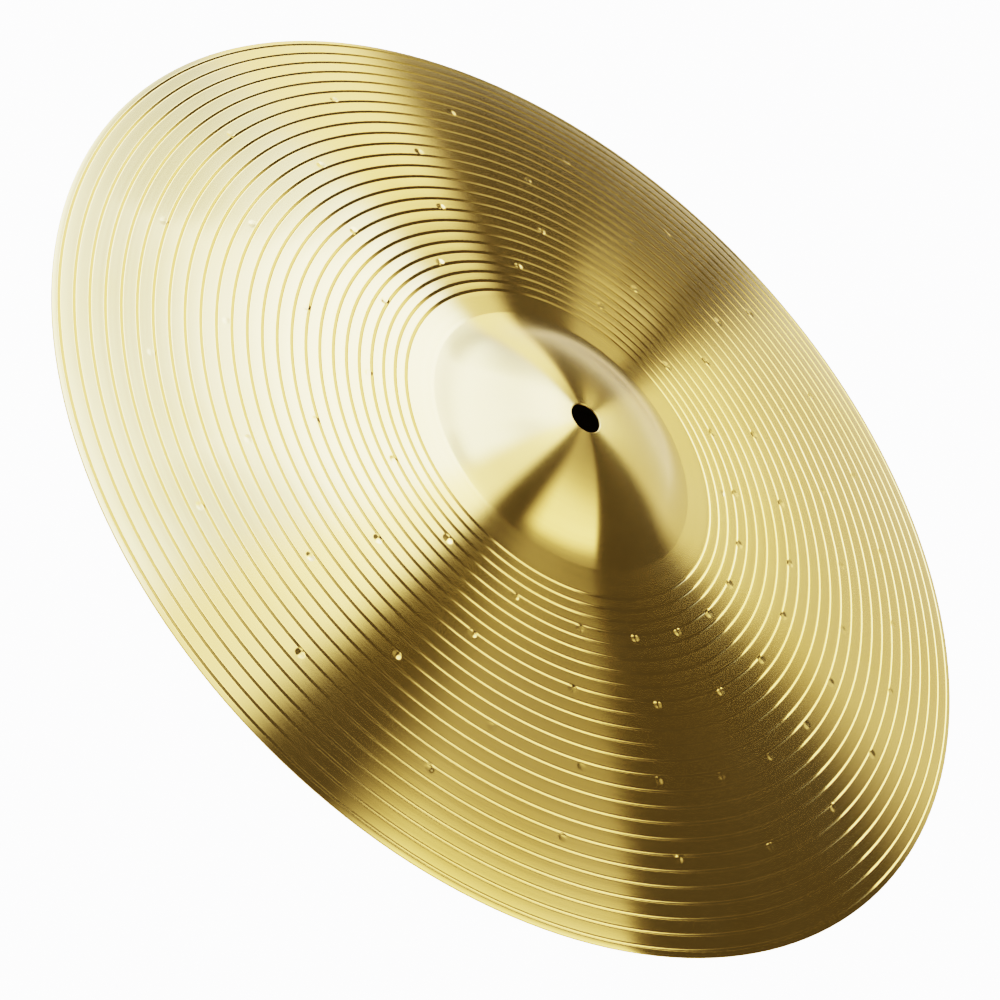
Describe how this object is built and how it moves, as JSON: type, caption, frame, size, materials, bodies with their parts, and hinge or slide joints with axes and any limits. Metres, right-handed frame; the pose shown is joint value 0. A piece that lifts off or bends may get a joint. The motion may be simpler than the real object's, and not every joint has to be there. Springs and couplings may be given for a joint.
{
  "type": "crash cymbal",
  "caption": "Round spun brass crash cymbal: domed bell with a plain stand hole, curved bow with turned tonal grooves and rings of hammer marks, thin rounded edge.",
  "frame": {"origin": "on the axis of the cymbal, in the plane that its edge rests on", "axes": "+Z along the axis, from the open underside towards the top of the bell"},
  "size_m": [0.4064, 0.4064, 0.0436],
  "materials": {
    "brass": "lathed and brushed round the axis, satin"
  },
  "bodies": {
    "root": {"cymbal": "brass"}
  },
  "joints": []
}
